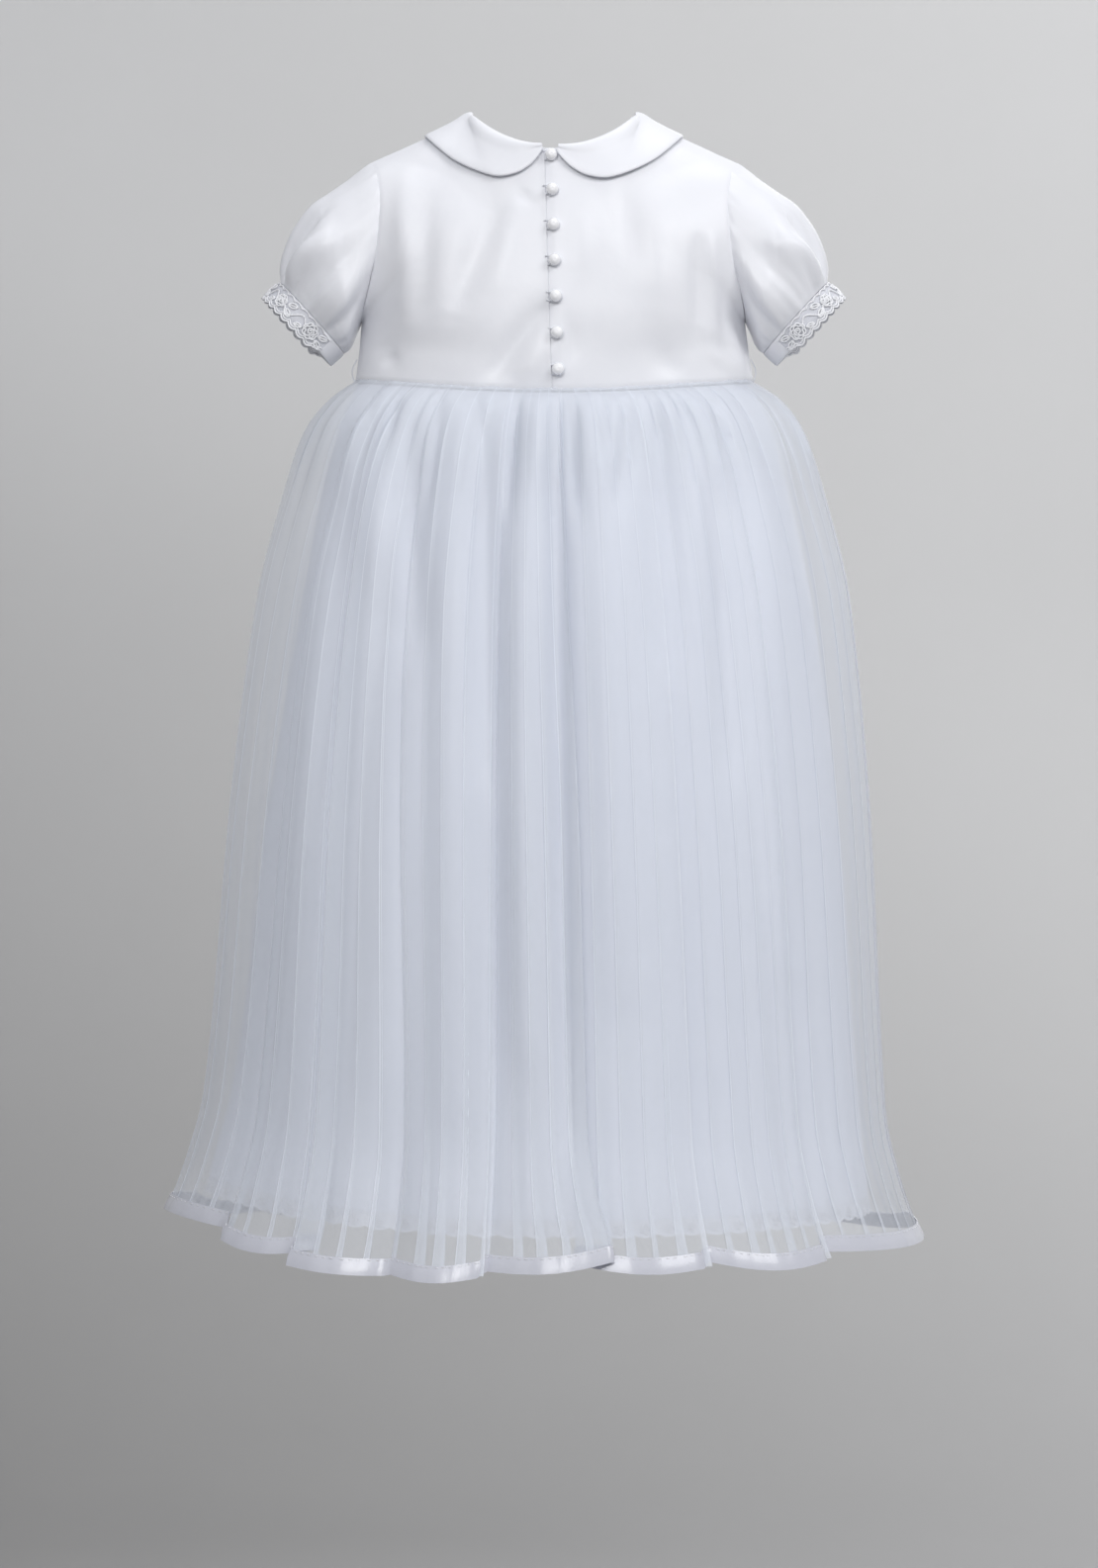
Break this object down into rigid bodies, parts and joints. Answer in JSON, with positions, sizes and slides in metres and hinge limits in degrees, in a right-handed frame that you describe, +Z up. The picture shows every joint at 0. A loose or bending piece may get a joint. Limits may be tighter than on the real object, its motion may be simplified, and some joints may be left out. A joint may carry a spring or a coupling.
{
  "type": "christening gown",
  "caption": "Baby's long gown, filled out as worn: satin bodice buttoned at the back, round collar, puffed sleeves with lace cuffs, pleated sheer skirt over a lining.",
  "frame": {"origin": "middle of the neck opening, level with the tops of the two shoulder seams", "axes": "+Z up from hem to neck, -Y out of the buttoned back, +Y out of the front, +X to the wearer's right"},
  "size_m": [0.4564, 0.3517, 0.689],
  "materials": {
    "satin": "smooth white satin",
    "lining_satin": "plain white lining satin",
    "organza": "sheer white organza",
    "ribbon": "glossy satin ribbon",
    "lace": "matt corded lace",
    "loop_cord": "fine white cord",
    "pearl": "pearl"
  },
  "bodies": {
    "root": {"back_left": "satin", "back_right": "satin", "front": "satin", "collar_left": "satin", "collar_right": "satin", "sleeve_right": "satin", "cuff_right": "satin", "cuff_lace_right": "lace", "sleeve_left": "satin", "cuff_left": "satin", "cuff_lace_left": "lace", "button_1": "pearl", "button_loop_1": "loop_cord", "button_2": "pearl", "button_loop_2": "loop_cord", "button_3": "pearl", "button_loop_3": "loop_cord", "button_4": "pearl", "button_loop_4": "loop_cord", "button_5": "pearl", "button_loop_5": "loop_cord", "button_6": "pearl", "button_loop_6": "loop_cord", "button_7": "pearl", "button_loop_7": "loop_cord", "sash_loop_right": "loop_cord", "sash_loop_left": "loop_cord", "skirt_organza_back": "organza", "skirt_organza_front": "organza", "hem_ribbon": "ribbon", "skirt_lining_back": "lining_satin", "skirt_lining_front": "lining_satin", "lining_lace": "lace"}
  },
  "joints": []
}
